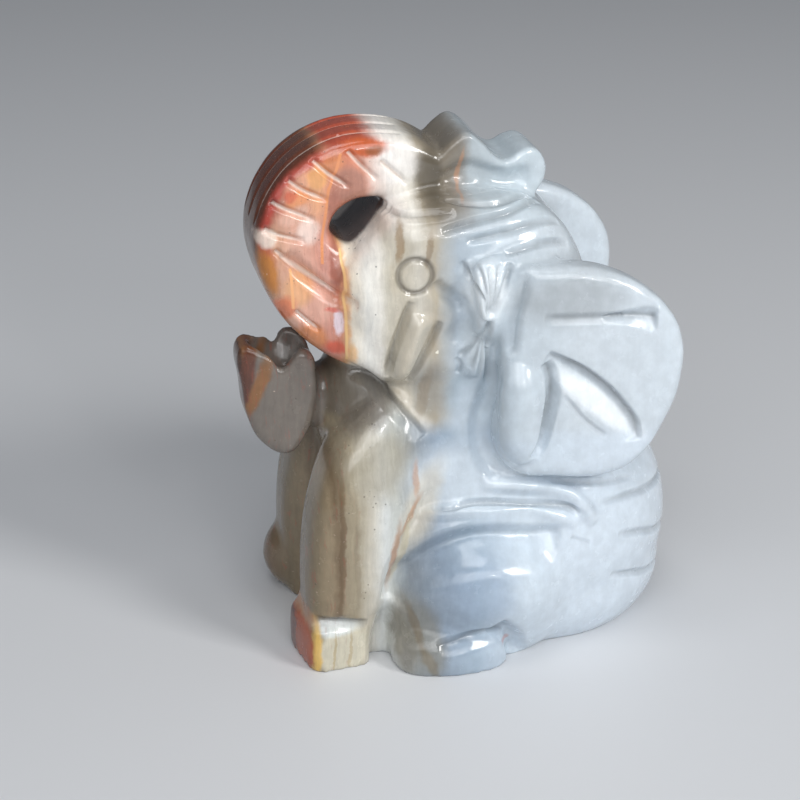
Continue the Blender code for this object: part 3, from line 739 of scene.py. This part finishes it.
# The bands of the trunk's top and crown, the face, and the chest, limbs and seat, as (y, colour)
BAND_LIMITS = (-20, 20)
TOP_BAND = [(-20, (112, 82, 62)), (-18.4, (128, 86, 68)), (-17, (170, 112, 96)), (-15.8, (206, 146, 124)),
            (-14.6, (216, 160, 132)), (-13.2, (222, 164, 126)), (-12.2, (206, 140, 116)),
            (-10.6, (204, 132, 106)), (-9.2, (214, 156, 136)), (-8.2, (232, 212, 202)), (-7, (238, 232, 226)),
            (-5.4, (232, 228, 218)), (-4.4, (160, 150, 132)), (-3.2, (128, 119, 104)), (-1.8, (134, 128, 118)),
            (-0.6, (154, 153, 150)), (0.6, (176, 185, 190)), (4, (190, 202, 209)), (9, (203, 214, 221)),
            (20, (208, 219, 227))]
FACE_BAND = [(-20, (128, 90, 60)), (-18.2, (160, 116, 76)), (-17.2, (198, 152, 124)), (-15.6, (214, 168, 148)),
             (-14, (212, 160, 142)), (-12.6, (200, 140, 124)), (-11.7, (206, 136, 110)),
             (-11.2, (232, 182, 134)), (-10.8, (236, 226, 208)), (-9.6, (238, 236, 229)),
             (-8.6, (230, 226, 217)), (-7.9, (198, 192, 177)), (-6.5, (192, 184, 167)), (-5.2, (201, 196, 184)),
             (-3.8, (180, 170, 152)), (-3, (178, 180, 178)), (-1.8, (176, 188, 198)), (0.4, (186, 199, 209)),
             (3, (193, 204, 212)), (8, (204, 213, 220)), (20, (208, 218, 226))]
LEG_BAND = [(-18, (96, 76, 60)), (-16.4, (116, 98, 78)), (-15, (124, 111, 88)), (-13.6, (143, 127, 102)),
            (-13, (122, 104, 80)), (-12.4, (146, 133, 110)), (-11.4, (156, 145, 122)), (-10.6, (180, 172, 154)),
            (-9.8, (198, 193, 180)), (-8.6, (210, 213, 211)), (-7.6, (192, 195, 190)), (-6.2, (149, 154, 155)),
            (-4, (148, 162, 177)), (-1, (162, 179, 194)), (1, (184, 198, 211)), (3.6, (201, 213, 223)),
            (9, (209, 220, 230)), (20, (212, 223, 233))]

# Marks over the bands, in the order they are laid on: (y, z) of the middle, half lengths along y and z,
# lean in degrees, colour, strength and softness
MARKS = [
    # trunk: orange and red between the cuts, mauve towards the loop, amber along the lower edge
    (-11.6, 48.2, 3.6, 0.9, 8, (166, 66, 48), 0.85, 0.6),
    (-9, 47.2, 2.2, 0.8, 4, (196, 96, 54), 0.9, 0.6),
    (-5.9, 45.7, 1.7, 1.8, 0, (242, 238, 234), 0.7, 0.8),
    (-8, 46.9, 0.8, 0.4, 0, (128, 84, 50), 0.6, 0.8),
    (-12.1, 45.9, 1.1, 0.9, -30, (212, 138, 92), 0.7, 0.8),
    (-13.3, 44.8, 0.9, 0.9, -20, (226, 166, 108), 0.8, 0.7),
    (-15, 43.1, 1.3, 0.7, -30, (224, 148, 98), 0.8, 0.7),
    (-15.7, 43.3, 0.6, 0.5, -30, (204, 98, 74), 0.7, 0.8),
    (-15.4, 41.6, 1.4, 0.7, -20, (226, 186, 168), 0.6, 0.8),
    (-10.5, 44, 1.5, 1.6, 0, (172, 124, 108), 0.8, 0.7),
    (-14.1, 40.1, 1, 1.1, 0, (240, 220, 210), 0.75, 0.8),
    (-17.7, 39.5, 0.8, 0.9, 0, (236, 220, 206), 0.85, 0.6),
    (-12.7, 38.4, 0.5, 2.4, 0, (204, 154, 142), 0.6, 0.8),
    (-11.9, 42.2, 0.6, 1.6, 0, (154, 98, 86), 0.6, 0.8),
    (-11.85, 37, 0.55, 1.9, 0, (152, 94, 82), 0.75, 0.8),
    (-17.6, 36.4, 0.7, 2, -10, (186, 118, 44), 0.9, 0.8),
    (-15.2, 35, 1.2, 1.7, 20, (222, 166, 116), 0.7, 0.8),
    (-16.6, 33, 0.9, 1.3, 30, (214, 118, 80), 0.8, 0.7),
    (-13, 34, 0.9, 2, 0, (232, 186, 168), 0.5, 0.9),
    (-14.2, 30.4, 1.4, 1.3, 30, (204, 128, 76), 0.85, 0.7),
    (-12.2, 29.7, 0.9, 0.7, 0, (216, 92, 64), 0.85, 0.8),
    (-11.9, 32, 0.42, 1.1, 0, (240, 224, 232), 0.9, 0.6),
    (-12.4, 33.1, 0.6, 0.25, 0, (220, 104, 92), 0.6, 0.8),
    (-10.8, 29.4, 0.4, 1, 0, (240, 186, 120), 0.7, 0.9),
    # face: tan streaks, a pale patch under the eye, grey and brown below the cheek, a pale nick
    (-6.8, 39.8, 0.35, 1.7, 4, (154, 130, 100), 0.75, 0.8),
    (-4.3, 39.2, 0.3, 1.5, 8, (140, 122, 98), 0.7, 0.8),
    (-5.6, 31.2, 0.9, 2.2, 22, (196, 188, 172), 0.5, 0.8),
    (-4.1, 26.3, 1.5, 2.6, 0, (150, 148, 142), 0.7, 0.9),
    (-1.3, 25.7, 1.6, 2.2, 0, (146, 162, 174), 0.65, 0.9),
    (-4.7, 25.6, 0.5, 2.4, 10, (146, 130, 108), 0.5, 0.8),
    (-7.4, 36.6, 0.3, 1.5, 0, (196, 186, 166), 0.5, 0.8),
    (-3.6, 29.7, 0.16, 0.16, 0, (240, 236, 222), 0.9, 0.6),
    # crown: its brown base, and its front lobe, brown darkened further with painted shade
    (-1.6, 45.4, 1.6, 2.6, 12, (126, 117, 103), 0.75, 0.9),
    # painted shade on the crown's front lobe, over its brown
    (-3.5, 44.4, 1.2, 2.2, 0, (86, 79, 67), 0.75, 0.8),
    # throat, darkened with painted shade under the head, and the pale top of the foreleg
    (-10.9, 24.6, 3.9, 2.5, -10, (104, 96, 86), 0.85, 0.6),
    (-8.9, 19.5, 2.8, 3.2, 0, (166, 160, 144), 0.75, 0.8),
    # ear: painted shade as a greyer patch above its middle, and a painted highlight on the face of its fold
    (7.2, 35, 4.6, 2.2, -6, (160, 166, 170), 0.65, 1),
    # painted highlight on the face of the ear's deep fold
    (9.9, 25.4, 4.8, 1.1, 40, (240, 246, 250), 0.85, 0.7),
    # thigh: slate blue towards the front, darker there also with painted shade
    (-4.2, 7.4, 2.8, 5.2, -20, (138, 154, 172), 0.5, 0.9),
    (-0.6, 8.2, 2.6, 3, -20, (146, 164, 186), 0.5, 0.9),
    # pale flank, and a painted highlight on the fan of folds, with grey below it
    (-1, 17.7, 5, 3, 0, (216, 226, 234), 0.75, 0.9),
    # painted highlight on the fan of folds
    (0.4, 35.4, 1.9, 2.8, 0, (236, 244, 249), 0.75, 0.8),
    (0, 30.4, 1.6, 2.4, 0, (206, 216, 222), 0.6, 0.8),
    (-0.6, 23.4, 1.6, 3, 0, (204, 216, 226), 0.6, 0.9),
    # the crown's rusty streak
    (-0.6, 44.5, 0.22, 1.8, 8, (190, 140, 104), 0.6, 0.9),
    # foreleg: pale behind it, rust down its back edge with a pale strip beside it, brown streaks
    (-5.2, 15.6, 1.3, 4, 25, (218, 210, 192), 0.6, 0.9),
    (-5.5, 17.9, 0.26, 1.6, 0, (190, 146, 116), 0.6, 1),
    (-6.2, 14.6, 0.28, 1.9, 30, (186, 138, 104), 0.65, 1),
    (-7.8, 10.8, 0.32, 3, 8, (176, 130, 94), 0.7, 1),
    (-7.1, 11.2, 0.3, 3.2, 14, (192, 184, 160), 0.7, 0.7),
    (-12.6, 12, 0.3, 6.5, 2, (104, 82, 56), 0.75, 0.8),
    (-11.2, 11, 0.3, 5, -1, (130, 116, 94), 0.4, 0.8),
    # hind foot: brown and beige front, a rosy speck on its top
    (-7.2, 3.4, 0.9, 3.4, 0, (122, 116, 104), 0.75, 0.8),
    (-5.5, 3.6, 1.5, 3.6, -12, (128, 126, 116), 0.7, 0.8),
    (-6.3, 4.6, 0.35, 2, -14, (112, 98, 76), 0.6, 0.9),
    (-5.3, 1.4, 0.45, 1.8, -24, (122, 110, 88), 0.6, 0.9),
    (2.2, 2.4, 0.4, 0.25, 0, (196, 140, 132), 0.6, 0.8),
    # lower lip: grey-brown, then a gold band and a red-brown tip, all darkened with painted shade under the
    # head
    (-16.2, 23.6, 3.6, 6.4, 0, (116, 109, 102), 0.97, 0.25),
    (-18.7, 24.6, 0.6, 3.4, 22, (140, 92, 44), 0.8, 0.8),
    (-19.9, 25.2, 0.8, 4, 14, (92, 52, 38), 0.9, 0.6),
    (-20.5, 25.2, 0.35, 4, 6, (64, 44, 38), 0.8, 0.6),
]
# The left forefoot alone: pale side with thin streaks, a painted highlight on its top, red and orange toe,
# yellow beside it
FOOT_MARKS = [
    (-12.6, 2, 2.4, 2.6, 0, (208, 203, 184), 0.85, 0.4),
    # painted highlight on the top of the foot
    (-13.2, 4.3, 2.2, 0.7, 0, (214, 222, 224), 0.7, 0.8),
    (-13.4, 1.8, 0.14, 2, 2, (176, 156, 116), 0.6, 0.8),
    (-11.9, 1.8, 0.14, 2, 2, (172, 154, 120), 0.6, 0.8),
    (-17.2, 2.6, 1.3, 3.6, 0, (84, 34, 22), 0.95, 0.6),
    (-15.8, 1.8, 0.5, 3.2, 0, (168, 74, 24), 0.9, 0.8),
    (-15, 1.8, 0.4, 3, 0, (224, 184, 96), 0.85, 0.9),
    (-16.2, 4.8, 1.2, 0.8, 0, (168, 128, 92), 0.8, 0.8),
]
# Thin bright veins through the trunk: points (y, z), half width, colour
VEINS = [
    ([(-11.2, 46.9), (-11.7, 45.4), (-12.4, 43.8), (-12.6, 41), (-12.9, 38.6), (-13, 37.2)],
     0.1, (224, 150, 104)),
    ([(-15.8, 36.6), (-15.8, 33.2)], 0.09, (236, 176, 124)),
    ([(-11.3, 38.2), (-11.3, 35), (-11.3, 31.6), (-11.3, 28.6)], 0.08, (246, 204, 144)),
]
# The inside of the trunk's loop, where shade is painted, as an oval's middle and half lengths, and the arc of
# the trunk's crest
LOOP_SHADE_OVAL = (-9.6, 40.7, 3.6, 3.2)
CREST_CENTRE = (-10.9, 39.9)
CREST_RADIUS = 7.1

CREST_RED = (178, 66, 58)
# painted shade inside the trunk's loop
OUTER_BROWN = (84, 50, 34)
LOOP_PAINTED_SHADE = (66, 40, 36)
FLECK = (232, 206, 190)
RUST = (158, 78, 62)
SPECK = (72, 62, 52)
FROST = (240, 226, 214)
# painted shade, with dull unpolished stone, at the bottom of cuts
DULL_SHADE = (84, 82, 80)
# painted shade in the eye's drilled ring
EYE_RING_SHADE = (112, 105, 94)

# The gloss that is the same all over the stone
GLOSS = {"IOR": 1.5, "Coat Weight": 0.3, "Coat Roughness": 0.05, "Subsurface Weight": 0.12,
         "Subsurface Radius": (1, 0.9, 0.8), "Subsurface Scale": 0.0012}


def banded(n, y, z):
    """The upright bands of the face, of the limbs below it and of the trunk's top above it."""
    top, face, leg = [n.ramp(y, band, *BAND_LIMITS) for band in (TOP_BAND, FACE_BAND, LEG_BAND)]
    # the face's bands end at the jowl's edge, which climbs forwards
    jowl = n.math("SUBTRACT", z, n.range(y, -10.6, -4.2, 27, 22.5))
    colour = n.mix(n.range(jowl, -1, 1), leg, face)
    return n.mix(n.range(z, 39.5, 42.5), colour, top)


def crested(n, colour, wavered, x, y, z):
    """Red along the trunk's crest, and brown on its outer side."""
    far = n.oval(wavered, *CREST_CENTRE, 1, 1)
    front = n.both(n.range(y, -11, -13.4), n.range(z, 36.2, 38.6))
    crest = n.math("SUBTRACT", 1, n.range(n.off(far, CREST_RADIUS), 0.15, 0.8))
    colour = n.mix(n.both(crest, n.both(front, 0.85)), colour, srgb(*CREST_RED))
    outer = n.both(n.range(n.math("ABSOLUTE", x), 4.5, 3.6), n.range(far, 6.6, 7.1))
    back = n.both(n.range(y, -11.6, -13.8), n.range(z, 35.4, 37))
    return n.mix(n.both(outer, n.both(back, 0.9)), colour, srgb(*OUTER_BROWN))


def marked(n, colour, mm, wavered, x, heights):
    """The marks, painted shade inside the loop, and the left forefoot's own marks."""
    for my, mz, ry, rz, lean, paint, strength, soft in MARKS:
        colour = n.mix(n.spot(wavered, heights, my, mz, ry, rz, lean, soft, strength), colour, srgb(*paint))
    # painted shade inside the trunk's loop
    inner = n.both(n.range(n.math("ABSOLUTE", x), 4, 2.8), n.spot(mm, heights, *LOOP_SHADE_OVAL, 0, 0.5, 0.9))
    colour = n.mix(inner, colour, srgb(*LOOP_PAINTED_SHADE))
    left = n.range(x, -1, 1)
    for my, mz, ry, rz, lean, paint, strength, soft in FOOT_MARKS:
        share = n.both(left, n.spot(wavered, heights, my, mz, ry, rz, lean, soft, strength))
        colour = n.mix(share, colour, srgb(*paint))
    return colour


def grained(n, colour, mm, wavered, y, z):
    """Fine cloudiness, upright grain, pale flecks, rust and dark specks."""
    cloud = n.range(n.noise(mm, 0.9, 6, 0.55), 0.3, 0.75, 0.93, 1.05)
    streak = n.times(wavered, (0.5, 3.2, 0.32))
    # the upright grain is plain in the warm front and faint in the grey behind
    fine = n.math("SUBTRACT", n.noise(streak, 1, 4, 0.6), 0.5)
    grain = n.math("ADD", 1, n.both(fine, n.range(y, -2, -8, 0.1, 0.5)))
    shade = n.both(cloud, grain)
    colour = n.add("ShaderNodeVectorMath", {0: colour, "Scale": shade}, operation="SCALE").outputs[0]
    fleck = n.range(n.noise(mm, 2.6, 4, 0.7), 0.66, 0.74, 0, 0.55)
    warm = n.range(y, -10, -12.5)
    colour = n.mix(n.both(fleck, warm), colour, srgb(*FLECK))
    rusty = n.range(n.noise(streak, 1.3, 5, 0.7), 0.56, 0.7, 0, 0.4)
    colour = n.mix(n.both(rusty, warm), colour, srgb(*RUST))
    cells = n.add("ShaderNodeTexVoronoi", {"Vector": mm, "Scale": 1.5}).outputs["Distance"]
    speck = n.both(n.range(cells, 0.16, 0.1), n.range(n.noise(mm, 0.8, 2), 0.52, 0.6))
    speck = n.both(speck, n.both(n.range(y, -7.5, -9, 0, 0.55), n.range(z, 5, 8)))
    return n.mix(speck, colour, srgb(*SPECK))


def veined(n, colour, drifted):
    for points, half, paint in VEINS:
        for start, end in zip(points, points[1:]):
            colour = n.mix(n.segment(drifted, start, end, half), colour, srgb(*paint))
    return colour


def stone():
    """Banded stone: upright bands that follow the object's length and drift with height, under a gloss."""
    material = bpy.data.materials.new("banded_stone")
    n = Nodes(material)
    shader = n.tree.nodes["Principled BSDF"]
    mm = n.times(n.add("ShaderNodeTexCoord").outputs["Object"], (1 / UNIT,) * 3)
    # the bands and marks waver
    drifted = n.shift(mm, n.noise(mm, 0.16, 2, kind="COLOR"), 0.8)
    wavered = n.shift(drifted, n.noise(mm, 0.9, 5, 0.62, kind="COLOR"), 0.7)
    x, y, z = n.add("ShaderNodeSeparateXYZ", {0: wavered}).outputs
    heights = n.add("ShaderNodeCombineXYZ", {1: z}).outputs[0]
    colour = banded(n, y, z)
    colour = crested(n, colour, wavered, x, y, z)
    colour = marked(n, colour, mm, wavered, x, heights)
    colour = grained(n, colour, mm, wavered, y, z)
    colour = veined(n, colour, drifted)
    # cuts left rough are frosted, or dull and darkened with painted shade at their bottom
    scratch, dull_shade = [n.add("ShaderNodeAttribute", attribute_name=name).outputs["Fac"] for name in CUT_MARKS]
    frost = n.range(scratch, 0.4, 0.9, 0, 0.7)
    colour = n.mix(frost, colour, srgb(*FROST))
    colour = n.mix(n.both(dull_shade, 0.4), colour, srgb(*DULL_SHADE))
    # the ring drilled round the eye, darkened with painted shade
    out = n.oval(mm, *EYE_CENTRE, 1, 1)
    colour = n.mix(n.range(n.off(out, EYE_RADIUS), 0.32, 0.1, 0, 0.5), colour, srgb(*EYE_RING_SHADE))
    n.put(shader.inputs["Base Color"], colour)
    rough = n.range(n.noise(mm, 0.8, 4), 0.3, 0.7, 0.16, 0.28)
    n.put(shader.inputs["Roughness"], n.math("ADD", rough, n.both(frost, 0.4)))
    bump = n.add("ShaderNodeBump", {"Height": n.noise(mm, 2.2, 4, 0.55), "Strength": 0.1, "Distance": 0.0001})
    n.put(shader.inputs["Normal"], bump.outputs[0])
    for name, value in GLOSS.items():
        shader.inputs[name].default_value = value
    return material


# The floor, in metres
FLOOR_HALF = 3
FLOOR_COLOUR = (214, 216, 219)
FLOOR_ROUGHNESS = 0.5


def floor():
    mesh = bmesh.new()
    bmesh.ops.create_grid(mesh, x_segments=1, y_segments=1, size=FLOOR_HALF)
    thing = mesh_object("floor", mesh)
    bpy.context.scene.collection.objects.link(thing)
    material = bpy.data.materials.new("floor")
    material.use_nodes = True
    shader = material.node_tree.nodes["Principled BSDF"]
    shader.inputs["Base Color"].default_value = srgb(*FLOOR_COLOUR)
    shader.inputs["Roughness"].default_value = FLOOR_ROUGHNESS
    thing.data.materials.append(material)


# Soft boxes: name, azimuth, elevation, distance, width and height in metres, watts, colour
LIGHTS = [
    ("key", 132, 36, 0.45, 0.12, 0.14, 0.95, (1, 0.99, 0.97)),
    ("sky", 88, 34, 0.7, 0.5, 0.4, 1.8, (0.97, 0.98, 1)),
    ("side", 56, 36, 0.6, 0.3, 0.3, 0.55, (1, 1, 1)),
    ("window", 100, 27, 0.5, 0.03, 0.03, 0.1, (1, 1, 1)),
    ("top", 60, 74, 0.5, 0.22, 0.16, 0.45, (1, 1, 1)),
    ("fill", 20, 24, 0.7, 0.4, 0.3, 0.3, (1, 1, 1)),
]
LIGHTS_AIM = (0, 0, 20)
ROOM_COLOUR = (0.42, 0.45, 0.5, 1)
ROOM_STRENGTH = 0.24


def away(azimuth, elevation):
    """The direction from the object to what looks or shines at it, in degrees; azimuth 0 is the front."""
    a, e = math.radians(azimuth), math.radians(elevation)
    return Vector((math.sin(a) * math.cos(e), -math.cos(a) * math.cos(e), math.sin(e)))


def facing(name, data, azimuth, elevation, distance, aim):
    """An object at a distance in metres from a place, turned towards it."""
    holder = bpy.data.objects.new(name, data)
    outward = away(azimuth, elevation)
    holder.location = at(*aim) + outward * distance
    holder.rotation_euler = outward.to_track_quat("Z", "Y").to_euler()
    bpy.context.scene.collection.objects.link(holder)
    return holder


def studio():
    for name, azimuth, elevation, distance, width, height, power, colour in LIGHTS:
        light = bpy.data.lights.new(name, "AREA")
        light.shape = "RECTANGLE"
        light.size, light.size_y = width, height
        light.energy = power
        light.color = colour
        facing(name, light, azimuth, elevation, distance, LIGHTS_AIM)
    world = bpy.data.worlds.new("studio")
    world.use_nodes = True
    room = world.node_tree.nodes["Background"]
    room.inputs["Color"].default_value = ROOM_COLOUR
    room.inputs["Strength"].default_value = ROOM_STRENGTH
    bpy.context.scene.world = world


# The view of the photograph: angles, distance, the point aimed at, and the lens on its sensor
VIEW_AZIMUTH = 78
VIEW_ELEVATION = 22.6
VIEW_DISTANCE = 204
VIEW_AIM = (0, -5.0, 21.5)
VIEW_LENS = 99
VIEW_SENSOR = 36


def camera():
    data = bpy.data.cameras.new("camera")
    data.lens = VIEW_LENS
    data.sensor_width = VIEW_SENSOR
    data.clip_start = 0.01
    view = facing("camera", data, VIEW_AZIMUTH, VIEW_ELEVATION, VIEW_DISTANCE * UNIT, VIEW_AIM)
    bpy.context.scene.camera = view


piece = stone_body()
piece.data.materials.append(stone())
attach(piece, "root")
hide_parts("elephant")
floor()
studio()
camera()
bpy.context.scene.view_settings.view_transform = "Standard"
